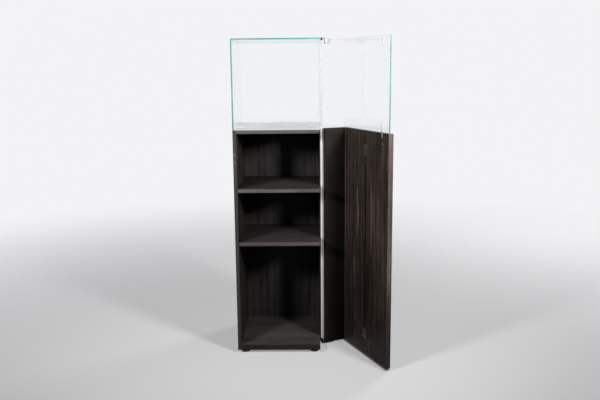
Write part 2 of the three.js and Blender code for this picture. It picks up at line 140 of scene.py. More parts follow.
def add_object(name, data):
    """A new object in the scene."""
    made = bpy.data.objects.new(name, data)
    bpy.context.scene.collection.objects.link(made)
    return made


camera_data = bpy.data.cameras.new("camera")
camera_data.lens = LENS
camera_data.sensor_width = SENSOR_WIDTH
camera = add_object("camera", camera_data)
eye = front_middle + Vector((EYE_RIGHT, -EYE_BEFORE, EYE_HEIGHT))
level = Matrix.Rotation(-YAW, 4, "Z") @ Matrix.Rotation(math.radians(90), 4, "X")
tilt = Matrix.Rotation(PITCH, 4, "X") @ Matrix.Rotation(ROLL, 4, "Z")
camera.matrix_world = Matrix.Translation(eye) @ level @ tilt
bpy.context.scene.camera = camera
print("camera height over the floor:", EYE_HEIGHT, "m, lens:", LENS, "mm")

# %% [markdown]
# ## Writing materials in code
#
# A material is a small graph: values flow from texture nodes into a shader. Such graphs can be
# clicked together for one object, but in code they can be used again. `add` makes a node, and
# `fill` sets its inputs: a number or colour is typed in, and another node's output is wired.

# %% Add a node, do a sum
def fill(tree, node, inputs):
    """Types a value into each named input of a node, or wires another node's output to it."""
    for name, value in inputs.items():
        if isinstance(value, bpy.types.NodeSocket):
            tree.links.new(value, node.inputs[name])
        else:
            node.inputs[name].default_value = value


def add(tree, kind, inputs=None, **settings):
    """A new node with its settings and inputs."""
    made = tree.nodes.new(kind)
    for name, value in settings.items():
        setattr(made, name, value)
    fill(tree, made, inputs or {})
    return made


def calculate(tree, operation, first, second=0.0, clamp=False):
    """One step of arithmetic on two numbers or sockets."""
    inputs = {0: first, 1: second}
    return add(tree, "ShaderNodeMath", inputs, operation=operation, use_clamp=clamp).outputs[0]


def scaled(tree, value, factor, offset=0.0):
    """value times factor plus offset."""
    inputs = {0: value, 1: factor, 2: offset}
    return add(tree, "ShaderNodeMath", inputs, operation="MULTIPLY_ADD").outputs[0]


def vector_sum(tree, operation, first, second=(0.0, 0.0, 0.0)):
    """One step of arithmetic on two vectors or sockets, as the node."""
    return add(tree, "ShaderNodeVectorMath", {0: first, 1: second}, operation=operation)


print("arithmetic ready")

# %% Blend two colours, fade between two levels
def toned(colour, share):
    """A colour made darker or paler."""
    return tuple(part * share for part in colour)


def blend_colour(tree, share, below, above):
    """below where share is 0, above where share is 1. Colours are linear red, green, blue."""
    mix = add(tree, "ShaderNodeMix", data_type="RGBA")
    for socket, value in ((mix.inputs[0], share), (mix.inputs[6], below), (mix.inputs[7], above)):
        if isinstance(value, bpy.types.NodeSocket):
            tree.links.new(value, socket)
        elif isinstance(value, (int, float)):
            socket.default_value = value
        else:
            socket.default_value = (*value, 1.0)
    return mix.outputs[2]


def band(tree, value, start, end):
    """0 below start, 1 above end, smooth between them. start may be the larger one."""
    inputs = {"Value": value, "From Min": start, "From Max": end}
    smooth = add(tree, "ShaderNodeMapRange", inputs, interpolation_type="SMOOTHSTEP")
    return smooth.outputs[0]


print("blends ready")

# %% Noise, plain or drawn out along the grain
def noise(tree, place, scale, detail=3.0, roughness=0.5):
    """Cloudy noise from 0 to 1 at a place. scale is in blobs a metre."""
    inputs = {"Vector": place, "Scale": scale, "Detail": detail, "Roughness": roughness}
    return add(tree, "ShaderNodeTexNoise", inputs).outputs["Fac"]


def clouds(tree, place, scale):
    """Noise with more contrast, for tones that change from spot to spot."""
    return band(tree, noise(tree, place, scale), 0.3, 0.7)


def stretched(tree, place, across, along):
    """The place with its grain axis and the two others multiplied by different amounts."""
    inputs = {"Vector": place, "Scale": (across, across, along)}
    return add(tree, "ShaderNodeMapping", inputs).outputs[0]


def drawn_out(tree, place, across, along, detail=3.0, roughness=0.5):
    """Noise with one number of blobs a metre across the grain and another along it."""
    return noise(tree, stretched(tree, place, across, along), 1.0, detail, roughness)


print("noise ready")

# %% Start a material
def new_material(name):
    """An empty material with its Principled shader, as (material, graph, shader)."""
    material = bpy.data.materials.new(name)
    material.use_nodes = True
    tree = material.node_tree
    return material, tree, tree.nodes["Principled BSDF"]


def bump(tree, height, depth, strength=1.0):
    """The normals of a surface that is raised by height times depth, in metres."""
    inputs = {"Height": height, "Distance": depth, "Strength": strength}
    return add(tree, "ShaderNodeBump", inputs).outputs[0]


print("material helpers ready")

# %% [markdown]
# ## Where on its own board is this point?
#
# Veneer runs along a board whichever way the board stands, and wear sits on a board's edges.
# Blender's object coordinates know neither, and would slide when the door swings. So each piece
# carries its own ruler, three values at every vertex. `grain_at` is the place on the veneer sheet,
# with the grain along its third axis. `from_middle` and `half_size` together tell how far the
# nearest edge is.

# %% Write the ruler on a mesh
SHEET_STEP = Vector((0.37, 0.21, 0.83))
AXES_WITH_GRAIN_LAST = {"Z": (0, 1, 2), "X": (2, 1, 0), "Y": (0, 2, 1)}


def write_vectors(mesh, name, values):
    """Stores one vector at each vertex under a name that materials can read."""
    layer = mesh.attributes.new(name, "FLOAT_VECTOR", "POINT")
    layer.data.foreach_set("vector", [part for value in values for part in value])


def add_ruler(mesh, grain_axis="Z", sheet=0):
    """Gives a mesh in its own square axes the three values that materials read."""
    points = [v.co.copy() for v in mesh.vertices]
    low, high = extent(points)
    offsets = [p - (low + high) / 2 for p in points]
    order = AXES_WITH_GRAIN_LAST[grain_axis]
    grain = [Vector([offset[axis] for axis in order]) + SHEET_STEP * sheet for offset in offsets]
    write_vectors(mesh, "from_middle", offsets)
    write_vectors(mesh, "half_size", [(high - low) / 2] * len(points))
    write_vectors(mesh, "grain_at", grain)


print("a step between veneer sheets:", [round(v, 2) for v in SHEET_STEP], "m")

# %% Read the ruler in a material
EDGE_RAG_SCALE = 140.0
EDGE_RAG_END = 0.35


def ruler(tree, name):
    """A value that the mesh carries at its vertices."""
    return add(tree, "ShaderNodeAttribute", attribute_name=name).outputs["Vector"]


def part_of(tree, vector, axis):
    """One of a vector's three numbers."""
    return add(tree, "ShaderNodeSeparateXYZ", {0: vector}).outputs[axis]


def edge_nearness(tree, reach, raggedness):
    """1 on a piece's edges, 0 further than reach from them, with a ragged border."""
    away = vector_sum(tree, "ABSOLUTE", ruler(tree, "from_middle")).outputs[0]
    inside = vector_sum(tree, "SUBTRACT", ruler(tree, "half_size"), away).outputs[0]
    x, y, z = (part_of(tree, inside, axis) for axis in range(3))
    largest = calculate(tree, "MAXIMUM", calculate(tree, "MAXIMUM", x, y), z)
    smallest = calculate(tree, "MINIMUM", calculate(tree, "MINIMUM", x, y), z)
    total = calculate(tree, "ADD", calculate(tree, "ADD", x, y), z)
    to_edge = calculate(tree, "SUBTRACT", calculate(tree, "SUBTRACT", total, largest), smallest)
    rag = noise(tree, ruler(tree, "grain_at"), EDGE_RAG_SCALE, 4.0, 0.6)
    ragged = calculate(tree, "ADD", to_edge, scaled(tree, rag, raggedness))
    return band(tree, ragged, reach + raggedness, raggedness * EDGE_RAG_END)


print("ruler ready")

# %% [markdown]
# ## Boards with eased edges
#
# A real board never has a razor edge: sanding takes off half a millimetre, and that tiny round
# catches the light. A new box with a bevel modifier would lose the frame's grooves and screw
# holes, so we copy the solids, join their triangles back into flat faces, and bevel the long
# edges. Short edges, such as the rims of drilled holes, stay as they are.

# %% Copy a solid and ease its edges
FLAT_WITHIN = math.radians(0.5)
SHARPER_THAN = math.radians(35)


def flat_faced_copy(node):
    """The node's solid as an open bmesh along its own square axes, with whole flat faces."""
    shape = bmesh.new()
    shape.from_mesh(frame["nodes"][node].data)
    bmesh.ops.remove_doubles(shape, verts=shape.verts, dist=0.001 * MM)
    bmesh.ops.transform(shape, matrix=home_of(node).inverted(), verts=shape.verts)
    bmesh.ops.dissolve_limit(
        shape, angle_limit=FLAT_WITHIN, verts=shape.verts, edges=shape.edges
    )
    return shape


def ease_edges(shape, width, rounds, shortest):
    """Bevels each sharp edge that is longer than shortest."""
    long_edges = [
        edge
        for edge in shape.edges
        if len(edge.link_faces) == 2
        and edge.calc_length() > shortest
        and edge.calc_face_angle() > SHARPER_THAN
    ]
    bmesh.ops.bevel(
        shape, geom=long_edges, affect="EDGES", offset=width, offset_type="OFFSET",
        segments=rounds, profile=0.5, clamp_overlap=False,
    )


print("edges sharper than", round(math.degrees(SHARPER_THAN)), "degrees get eased")

# %% Put a finished mesh in its node's place
SMOOTH_UP_TO = math.radians(40)


def mesh_from(shape, name):
    """The mesh of a bmesh, which is freed."""
    mesh = bpy.data.meshes.new(name)
    shape.to_mesh(mesh)
    shape.free()
    return mesh


def place_piece(mesh, name, node, smooth_angle=SMOOTH_UP_TO):
    """Makes the object for a mesh in square axes and lets it stand for its node."""
    mesh.transform(home_of(node))
    for face in mesh.polygons:
        face.use_smooth = smooth_angle > 0
    if smooth_angle > 0:
        mesh.set_sharp_from_angle(angle=smooth_angle)
    piece = add_object(name, mesh)
    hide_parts(node)
    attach(piece, body_of_node[node])
    return piece


def eased_piece(node, suffix, material, width, rounds=3, shortest=8 * MM, grain_axis="Z", sheet=0):
    """A copy of a node's solid with eased edges, its ruler and one material."""
    shape = flat_faced_copy(node)
    ease_edges(shape, width, rounds, shortest)
    mesh = mesh_from(shape, f"{node}_{suffix}")
    add_ruler(mesh, grain_axis, sheet)
    mesh.materials.append(material)
    return place_piece(mesh, f"{node}_{suffix}", node)


print("board helpers ready")

# %% [markdown]
# ## Smoked veneer
#
# Smoking turns the wood dark right through, and a semi-matt lacquer leaves a low haze of light on
# it. An image would look sharper from close by, but it would repeat. A formula fits a board of any
# size, so the sheet is noise drawn out along the grain by different amounts: leaves of slightly
# different tone, long streaks, fine threads and dark pores. A distorted wave gives the flame-shaped
# figure where the knife met the growth rings, and a plain mottle keeps it from looking combed.

# %% Tones and pores of a veneer sheet
GRAIN_LAYERS = {
    # blobs a metre across and along the grain, detail, roughness, dark below, pale above, share
    "leaves": (9.0, 2.2, 3.0, 0.50, 0.25, 0.80, 0.46),
    "streaks": (105.0, 2.6, 4.0, 0.62, 0.28, 0.80, 0.28),
    "threads": (420.0, 11.0, 3.0, 0.60, 0.38, 0.75, 0.20),
}
SWAY_REACH = 0.05
FIGURE_SHARE, MOTTLE_SHARE = 0.16, 0.5


def growth_figure(tree, place):
    """Flame-shaped bands from 0 to 1, long along the grain."""
    inputs = {
        "Vector": stretched(tree, place, 9.0, 0.85), "Scale": 1.0, "Distortion": 5.0,
        "Detail": 2.0, "Detail Scale": 0.9, "Detail Roughness": 0.55,
    }
    wave = add(tree, "ShaderNodeTexWave", inputs, wave_type="BANDS", bands_direction="X")
    return band(tree, wave.outputs["Fac"], 0.35, 1.0)


def veneer_tones(tree, place):
    """How pale each point of the sheet is, about 0 to 1, and where its pores lie."""
    sway = scaled(tree, drawn_out(tree, place, 5.0, 1.6, 2.0), SWAY_REACH)
    sideways = add(tree, "ShaderNodeCombineXYZ", {0: sway}).outputs[0]
    swayed = vector_sum(tree, "ADD", place, sideways).outputs[0]
    mottle = drawn_out(tree, place, 34.0, 17.0, 4.0, 0.6)
    tone = scaled(tree, mottle, MOTTLE_SHARE, -MOTTLE_SHARE / 2)
    tone = scaled(tree, growth_figure(tree, swayed), FIGURE_SHARE, tone)
    for across, along, detail, roughness, dark, pale, share in GRAIN_LAYERS.values():
        layer = drawn_out(tree, swayed, across, along, detail, roughness)
        tone = scaled(tree, band(tree, layer, dark, pale), share, tone)
    pores = band(tree, drawn_out(tree, swayed, 1500.0, 42.0, 2.0), 0.62, 0.72)
    return tone, pores


print("layers in the veneer:", ", ".join(GRAIN_LAYERS))

# %% [markdown]
# ## Lipping, stain and wear
#
# A board's core is closed at the front with a thin strip of solid wood, the lipping, which takes
# the stain in another way than the face. It could be a piece of its own, but the ruler already
# tells how deep under the front we are, so one material can hold both stains. The tone then picks
# between three shades, and the handled edges are rubbed a little paler.

# %% Find the lipping and mix the shades
LIPPING_DEPTH = 0.9 * MM
DARKEST, USUAL = 0.40, 1.0
TONE_STOPS = (0.10, 0.58, 1.10)


def lipping_share(tree, axis):
    """1 on the thin strip that closes a board's low side along an axis, 0 elsewhere."""
    inside = vector_sum(tree, "ADD", ruler(tree, "half_size"), ruler(tree, "from_middle"))
    depth = part_of(tree, inside.outputs[0], axis)
    return band(tree, depth, LIPPING_DEPTH * 1.1, LIPPING_DEPTH * 0.9)


def stained_wood(tree, tone, strip, stain, lipping, palest):
    """The stain's dark, usual and palest shade by tone, with the lipping's own on the strip."""
    dark, usual, pale = (
        blend_colour(tree, strip, toned(stain, share), toned(lipping, share))
        for share in (DARKEST, USUAL, palest)
    )
    lower = blend_colour(tree, band(tree, tone, *TONE_STOPS[:2]), dark, usual)
    return blend_colour(tree, band(tree, tone, *TONE_STOPS[1:]), lower, pale)


print("lipping depth:", round(LIPPING_DEPTH / MM, 2), "mm")

# %% The veneer material
PORE_BLACK, PORE_SHARE = (0.008, 0.006, 0.005), 0.5
RUB_SHARE, RUB_PALER = 0.35, 1.5


def veneer(
    name, stain, lipping, lipping_axis="Y", contrast=1.0, sheen=0.03, palest=1.75, extra_tone=None
):
    """Smoked veneer. extra_tone may add marks of its own to the sheet: paler ones and painted shade."""
    material, tree, shader = new_material(name)
    place = ruler(tree, "grain_at")
    tone, pores = veneer_tones(tree, place)
    tone = scaled(tree, tone, contrast, 0.5 * (1 - contrast))
    if extra_tone:
        tone = calculate(tree, "ADD", tone, extra_tone(tree))
    strip = lipping_share(tree, lipping_axis)
    wood = stained_wood(tree, tone, strip, stain, lipping, palest)
    pored = blend_colour(tree, scaled(tree, pores, PORE_SHARE), wood, PORE_BLACK)
    rubbed = scaled(tree, edge_nearness(tree, 1.0 * MM, 1.4 * MM), RUB_SHARE)
    haze = scaled(tree, noise(tree, place, 26.0, 4.0), 0.14, 0.36)
    fill(tree, shader, {
        "Base Color": blend_colour(tree, rubbed, pored, toned(lipping, RUB_PALER)),
        "Roughness": scaled(tree, pores, 0.2, haze),
        "Normal": bump(tree, calculate(tree, "SUBTRACT", tone, pores), 0.12 * MM, 0.5),
        "Specular IOR Level": sheen,
    })
    return material


print("veneer recipe ready")

# %% [markdown]
# ## The cabinet's boards
#
# Side panels and back take their veneer upright, and the level boards take it from side to side.
# One material for all would make them look printed, so each board gets another part of the sheet,
# and its own tone for face and front edge. These tones are partly the boards' own and partly painted
# light and shade, such as the base board's dark front edge near the floor.

# %% Dress the upright boards
BOARD_EASE = 0.6 * MM
UPRIGHT_STAIN, UPRIGHT_LIPPING = (0.037, 0.031, 0.027), (0.068, 0.061, 0.060)
BACK_STAIN = (0.0235, 0.0195, 0.0155)

side_veneer = veneer("smoked_veneer_sides", UPRIGHT_STAIN, UPRIGHT_LIPPING, contrast=0.6)
back_veneer = veneer("smoked_veneer_back", BACK_STAIN, UPRIGHT_LIPPING, contrast=0.9)
UPRIGHT_BOARDS = {
    "left_side_panel": side_veneer, "right_side_panel": side_veneer, "back_panel": back_veneer
}
for sheet, (node, leaf) in enumerate(UPRIGHT_BOARDS.items(), start=1):
    eased_piece(node, "board", leaf, BOARD_EASE, sheet=sheet)
print("upright boards made:", len(UPRIGHT_BOARDS))

# %% Dress the level boards
LEVEL_STAIN, LEVEL_LIPPING = (0.100, 0.089, 0.085), (0.127, 0.112, 0.107)
LEVEL_TONES_AND_SHADE = {
    # face and front edge beside the usual stain: own tone, partly painted light and shade
    "top_board": (0.80, 0.97),
    "upper_shelf": (0.66, 1.25),
    "lower_shelf": (0.58, 0.90),
    "base_board": (1.15, 0.36),
}
for sheet, (node, (face_tone, edge_tone)) in enumerate(LEVEL_TONES_AND_SHADE.items(), start=4):
    stain, lipping = toned(LEVEL_STAIN, face_tone), toned(LEVEL_LIPPING, edge_tone)
    leaf = veneer(f"smoked_veneer_{node}", stain, lipping, contrast=0.7)
    eased_piece(node, "board", leaf, BOARD_EASE, grain_axis="X", sheet=sheet)
print("level boards made:", len(LEVEL_TONES_AND_SHADE))

# %% [markdown]
# ## The door's two panels
#
# The door's veneer shows pale flames on either side of its middle, the tips of growth rings. A
# wave would put them anywhere, so we list each one, as a long, narrow lens: the distance from its
# middle, squeezed along the grain. Fine threads fray their borders. Where the two panels are glued
# into an L, a thin pale line is painted along the inner corner, and painted shade makes the door
# darker towards the floor.

# %% Place the pale flames
FLAMES = (
    # across from the panel's middle, height over its middle, half width, half length, strength
    (0.066, 0.150, 0.0100, 0.165, 1.70),
    (0.056, 0.125, 0.0060, 0.120, 0.90),
    (-0.062, 0.115, 0.0115, 0.185, 1.70),
    (-0.080, 0.170, 0.0055, 0.140, 0.80),
    (0.093, -0.102, 0.0120, 0.150, 0.90),
    (0.118, -0.230, 0.0070, 0.160, 0.55),
    (-0.120, -0.150, 0.0080, 0.180, 0.45),
)
# a thin pale line painted along the inner corner, where the side panel meets the front panel
CORNER_LINE = square_box("side_door_panel")[0].x - (panel_low.x + panel_high.x) / 2 - 2 * MM
CORNER_LINE_SHARE = 0.8
# painted shade: how much darker the door's tone gets towards the floor
FOOT_PAINTED_SHADE = 0.16


def flame_lens(tree, place, across, height, half_width, half_length):
    """1 in the middle of a long, narrow lens on the panel, 0 outside it."""
    moved = vector_sum(tree, "SUBTRACT", place, (across, 0.0, height)).outputs[0]
    squeeze = (1 / half_width, 0.0, 1 / half_length)
    squeezed = vector_sum(tree, "MULTIPLY", moved, squeeze).outputs[0]
    distance = vector_sum(tree, "LENGTH", squeezed).outputs["Value"]
    return band(tree, distance, 1.0, 0.15)


def door_marks(tree):
    """What flames, the pale corner line and painted shade low down add to the front panel's tones."""
    place = ruler(tree, "from_middle")
    flames = 0.0
    for *lens, strength in FLAMES:
        flames = scaled(tree, flame_lens(tree, place, *lens), strength, flames)
    threads = drawn_out(tree, ruler(tree, "grain_at"), 260.0, 14.0)
    frayed = calculate(tree, "MULTIPLY", flames, band(tree, threads, 0.30, 0.62))
    from_line = calculate(tree, "SUBTRACT", part_of(tree, place, "X"), CORNER_LINE)
    line = band(tree, calculate(tree, "ABSOLUTE", from_line), 5 * MM, 1 * MM)
    # painted shade: the door's tone drops towards the floor
    foot = band(tree, part_of(tree, place, "Z"), 0.10, -0.30)
    return scaled(tree, foot, -FOOT_PAINTED_SHADE, scaled(tree, line, CORNER_LINE_SHARE, frayed))


print("flames placed:", len(FLAMES))

# %% Dress the door's panels
DOOR_STAIN, DOOR_LIPPING = (0.060, 0.043, 0.036), (0.150, 0.121, 0.111)
# painted shade: the side panel's stain is darker than the front panel's, standing in for the shade it lies in
DOOR_SIDE_SHADED_STAIN = (0.027, 0.021, 0.018)

door_veneer = veneer("door_veneer", DOOR_STAIN, DOOR_LIPPING, "X", 1.2, 0.06, 2.4, door_marks)
door_side_shaded_veneer = veneer("door_side_shaded_veneer", DOOR_SIDE_SHADED_STAIN, UPRIGHT_LIPPING, contrast=0.7)
door_board = eased_piece("front_door_panel", "board", door_veneer, BOARD_EASE, sheet=9)
eased_piece("side_door_panel", "board", door_side_shaded_veneer, BOARD_EASE, sheet=10)
print("door panels made, faces on the front one:", len(door_board.data.polygons))

# %% [markdown]
# ## The groove in the door
#
# A tall door warps, so a steel rod in a groove holds it straight. The groove is the darkest line on
# the door, so its faces get painted shade, a near-black colour. A thin piece of its own could carry
# it, but it is part of the board, so the faces inside the groove get a second material. They are
# found by their place: behind the panel's face, and as far across as the rod.

# %% Paint shade into the groove
GROOVE_MARGIN = 4 * MM
GROOVE_MOUTH = 0.8 * MM
GROOVE_SHADE_DARK, GROOVE_SHADE_BRUSHED = (0.004, 0.003, 0.003), (0.010, 0.008, 0.007)


def groove_shade_paint():
    """Near-black painted shade for the groove, brushed, that throws back next to nothing."""
    material, tree, shader = new_material("groove_painted_shade")
    brushed = drawn_out(tree, ruler(tree, "grain_at"), 600.0, 30.0)
    colour = blend_colour(tree, brushed, GROOVE_SHADE_DARK, GROOVE_SHADE_BRUSHED)
    fill(tree, shader, {"Base Color": colour, "Roughness": 0.7, "Specular IOR Level": 0.02})
    return material


def lies_in_groove(middle, rod_low, rod_high):
    """Whether a face's middle, in square axes, is inside the groove around the rod."""
    across = rod_low.x - GROOVE_MARGIN < middle.x < rod_high.x + GROOVE_MARGIN
    return across and rod_low.y - GROOVE_MARGIN < middle.y < panel_high.y - GROOVE_MOUTH


rod_low, rod_high = square_box("straightener_rod")
door_board.data.materials.append(groove_shade_paint())
painted = 0
for face in door_board.data.polygons:
    if lies_in_groove(closed @ face.center, rod_low, rod_high):
        face.material_index = 1
        painted += 1
print("groove faces painted:", painted)

# %% [markdown]
# ## The display deck
#
# Under the hood lies a thin pale laminate. Seen along its surface it shines like satin, and from
# above it is a soft light grey. A white colour alone would look chalky and burn out under the
# lamps, so most of its brightness comes from the gloss. The speckle and hairline marks stay faint.

# %% Dress the deck
DECK_DULL, DECK_CLEAN, DECK_SPECK = (0.62, 0.625, 0.64), (0.66, 0.665, 0.68), (0.5, 0.5, 0.52)


def pale_laminate():
    """Satin laminate with a cloudy tone, a fine speckle and hairline marks."""
    material, tree, shader = new_material("deck_laminate")
    place = ruler(tree, "grain_at")
    speckle = noise(tree, place, 900.0, 2.0)
    base = blend_colour(tree, clouds(tree, place, 9.0), DECK_DULL, DECK_CLEAN)
    specks = scaled(tree, band(tree, speckle, 0.6, 0.7), 0.10)
    hairs = drawn_out(tree, place, 14.0, 700.0, 2.0)
    fill(tree, shader, {
        "Base Color": blend_colour(tree, specks, base, DECK_SPECK),
        "Roughness": scaled(tree, hairs, 0.2, 0.12),
        "Normal": bump(tree, speckle, 0.02 * MM, 0.3),
        "Specular IOR Level": 0.7,
    })
    return material


eased_piece("display_deck", "sheet", pale_laminate(), 0.4 * MM, grain_axis="X", sheet=11)

# %% [markdown]
# ## Glass
#
# Float glass is clear looking through it and green looking along it, because of the iron in it. A
# volume could do that, but it is slow and is lost when a model is exported. So each pane has up to
# three materials: a clear one on its broad faces, a green one on its ground edges, and a nearly
# invisible one where an edge is glued. Lamps have to reach the exhibit, so for shadow rays the
# clear one gives way to a transparent one with a faint tint.

# %% Clear glass
GLASS_TINT, GLASS_SHADE = (0.975, 0.985, 0.987, 1.0), (0.93, 0.965, 0.955, 1.0)


def clear_glass():
    """Glass to look through, which lets the lamps' light pass."""
    material, tree, shader = new_material("clear_glass")
    smear = band(tree, noise(tree, ruler(tree, "grain_at"), 7.0, 4.0, 0.6), 0.55, 0.85)
    fill(tree, shader, {
        "Base Color": GLASS_TINT,
        "Roughness": scaled(tree, smear, 0.035),
        "Transmission Weight": 1.0,
        "IOR": 1.5,
    })
    shade = add(tree, "ShaderNodeBsdfTransparent", {"Color": GLASS_SHADE}).outputs[0]
    shadow_ray = add(tree, "ShaderNodeLightPath").outputs["Is Shadow Ray"]
    both = add(tree, "ShaderNodeMixShader", {0: shadow_ray, 1: shader.outputs[0], 2: shade})
    fill(tree, tree.nodes["Material Output"], {0: both.outputs[0]})
    return material


pane_face = clear_glass()
print("glass for the broad faces:", pane_face.name)

# %% Green edge and glued joint
EDGE_DEEP, EDGE_PALE = (0.050, 0.205, 0.205), (0.140, 0.370, 0.375)
RESIN, BUBBLE = (0.70, 0.82, 0.80), (0.90, 0.93, 0.92)


def green_edge():
    """A ground edge: a narrow, slightly rough strip that takes light from all round."""
    material, tree, shader = new_material("glass_edge")
    place = ruler(tree, "grain_at")
    depth = band(tree, drawn_out(tree, place, 5.0, 3.0), 0.3, 0.7)
    grind = noise(tree, place, 1400.0, 2.0)
    fill(tree, shader, {
        "Base Color": blend_colour(tree, depth, EDGE_DEEP, EDGE_PALE),
        "Roughness": scaled(tree, grind, 0.2, 0.25),
        "Normal": bump(tree, grind, 0.01 * MM, 0.3),
        "Specular IOR Level": 0.6,
    })
    return material


def clear_resin():
    """Clear resin with a few small bubbles, almost without a face of its own."""
    material, tree, shader = new_material("glass_joint")
    bubbles = band(tree, noise(tree, ruler(tree, "grain_at"), 900.0, 2.0), 0.66, 0.72)
    fill(tree, shader, {
        "Base Color": blend_colour(tree, bubbles, RESIN, BUBBLE),
        "Roughness": 0.3,
        "Alpha": scaled(tree, bubbles, 0.10, 0.02),
    })
    return material


pane_edge, pane_joint = green_edge(), clear_resin()
print("glass for the edges:", pane_edge.name, pane_joint.name)

# %% [markdown]
# ## Panes
#
# A pane's two broad faces lie across its thin direction, and all others are edges. Where panes
# meet they are glued, and the door's glass is coated with the same resin along its hinge side.
# Faces picked by hand would hold for one hood only. Instead we step a millimetre out of the edge
# and ask whether another pane is there. Panes are shaded flat, because smooth shading bends the
# normals across such large faces and leaves dark triangles in the glass.

# %% Find the edges that are glued
PANES = (
    "left_glass", "right_glass", "back_glass", "roof_glass", "front_door_glass", "side_door_glass"
)
STEP_OUT = 1.0 * MM
REACH = 0.1 * MM
COATED_EDGES = {
    # pane: the way its coated edge faces, in square axes
    "side_door_glass": Vector((0, 1, 0)),
    "front_door_glass": Vector((1, 0, 0)),
}


def meets_another_pane(node, point):
    """Whether a point in a pane's square axes lies in another pane of the same body."""
    for other in PANES:
        if other == node or body_of_node[other] != body_of_node[node]:
            continue
        low, high = square_box(other)
        if all(low[axis] - REACH < point[axis] < high[axis] + REACH for axis in range(3)):
            return True
    return False


def is_glued(node, face):
    """Whether an edge face of a pane lies in a glued joint or under a coat of resin."""
    if node in COATED_EDGES and face.normal.dot(COATED_EDGES[node]) > 0.5:
        return True
    return meets_another_pane(node, face.calc_center_median() + face.normal * STEP_OUT)


print("panes:", len(PANES))

# %% Cut the panes
ARRIS = 0.4 * MM
BROAD, EDGE, JOINT = range(3)


def pane(node, sheet):
    """A pane with an arris on its edges and a material for each kind of face."""
    shape = flat_faced_copy(node)
    ease_edges(shape, ARRIS, 1, 4 * MM)
    low, high = square_box(node)
    thin = min(range(3), key=lambda axis: (high - low)[axis])
    for face in shape.faces:
        if abs(face.normal[thin]) > 0.99:
            face.material_index = BROAD
        else:
            face.material_index = JOINT if is_glued(node, face) else EDGE
    mesh = mesh_from(shape, f"{node}_pane")
    add_ruler(mesh, sheet=sheet)
    for material in (pane_face, pane_edge, pane_joint):
        mesh.materials.append(material)
    return place_piece(mesh, f"{node}_pane", node, smooth_angle=0)


for sheet, node in enumerate(PANES, start=20):
    made = pane(node, sheet)
    glued = sum(1 for face in made.data.polygons if face.material_index == JOINT)
    print(node, "has", glued, "glued edge faces")

# %% [markdown]
# ## The white seal
#
# A soft strip runs up the hinge side, on the panel's front edge and then on the fixed pane's. Such
# strips are extruded, so we do the same: draw the section once, two rounded lips with a shallow
# channel between them, and pull it up. A beveled box would be quicker, but it wouldn't catch the
# light in two lines.

# %% Extrude the seal
LIP_STEPS = 7
CHANNEL_DEPTH = 0.7 * MM
SEAL_STEPS = 24


def seal_section(low, high):
    """The seal's outline in plan: flat at the back, two lips in front."""
    lip = (high.x - low.x) / 2
    points = [(low.x, high.y)]
    for side in (0, 1):
        for step in range(side, LIP_STEPS + 1):
            share = step / LIP_STEPS
            rise = math.sin(math.pi * share) ** 0.5
            points.append((low.x + (side + share) * lip, low.y + CHANNEL_DEPTH * (1 - rise)))
    points.append((high.x, high.y))
    return points


def extruded(name, outline, bottom, top, steps):
    """A closed mesh: an outline in plan pulled up from bottom to top."""
    shape = bmesh.new()
    heights = [bottom + (top - bottom) * step / steps for step in range(steps + 1)]
    rings = [[shape.verts.new((x, y, z)) for x, y in outline] for z in heights]
    for lower, upper in zip(rings, rings[1:]):
        for i in range(len(outline)):
            j = (i + 1) % len(outline)
            shape.faces.new((lower[i], lower[j], upper[j], upper[i]))
    shape.faces.new(list(reversed(rings[0])))
    shape.faces.new(rings[-1])
    bmesh.ops.recalc_face_normals(shape, faces=shape.faces)
    return mesh_from(shape, name)


seal_low, seal_high = square_box("hinge_side_seal")
outline = seal_section(seal_low, seal_high)
seal_mesh = extruded("seal_strip", outline, seal_low.z, seal_high.z, SEAL_STEPS)
print("seal length:", round(seal_high.z - seal_low.z, 3), "m")

# %% [markdown]
# ## The seal's rubber
#
# White rubber yellows and picks up dust, and both are drawn by noise. On the pane the strip gets
# more light, so there it is painted darker, a painted shade that keeps it from burning out. Two
# pieces would show a seam, so the one strip fades from one tone to the other where the deck is.

# %% Colour the seal
SEAL_FRESH, SEAL_YELLOWED = (0.88, 0.875, 0.86), (0.81, 0.79, 0.74)
SEAL_DUST, SEAL_ON_PANE_DIMMED = (0.35, 0.34, 0.33), (0.55, 0.555, 0.56)
PANE_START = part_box("display_deck")[1].z - (seal_low.z + seal_high.z) / 2
FADE = 3 * MM


def seal_rubber():
    """White rubber, painted darker above the deck as shade against the stronger light there."""
    material, tree, shader = new_material("seal_white")
    place = ruler(tree, "grain_at")
    ageing = band(tree, drawn_out(tree, place, 20.0, 3.0), 0.3, 0.75)
    tint = blend_colour(tree, ageing, SEAL_FRESH, SEAL_YELLOWED)
    dust = band(tree, noise(tree, place, 160.0, 4.0, 0.6), 0.58, 0.75)
    dusty = blend_colour(tree, scaled(tree, dust, 0.12), tint, SEAL_DUST)
    height = part_of(tree, ruler(tree, "from_middle"), "Z")
    # painted shade: above the deck the seal turns darker, against the stronger light there
    on_pane = band(tree, height, PANE_START - FADE, PANE_START + FADE)
    fill(tree, shader, {
        "Base Color": blend_colour(tree, on_pane, dusty, SEAL_ON_PANE_DIMMED),
        "Roughness": 0.55,
        "Normal": bump(tree, noise(tree, place, 700.0, 2.0), 0.03 * MM, 0.4),
        "Specular IOR Level": 0.3,
    })
    return material


add_ruler(seal_mesh, sheet=30)
seal_mesh.materials.append(seal_rubber())
place_piece(seal_mesh, "hinge_side_seal_strip", "hinge_side_seal", math.radians(60))
# above the deck the seal is painted darker, a painted shade against the stronger light
print("the seal gets clearer", round(PANE_START, 3), "m above its middle")

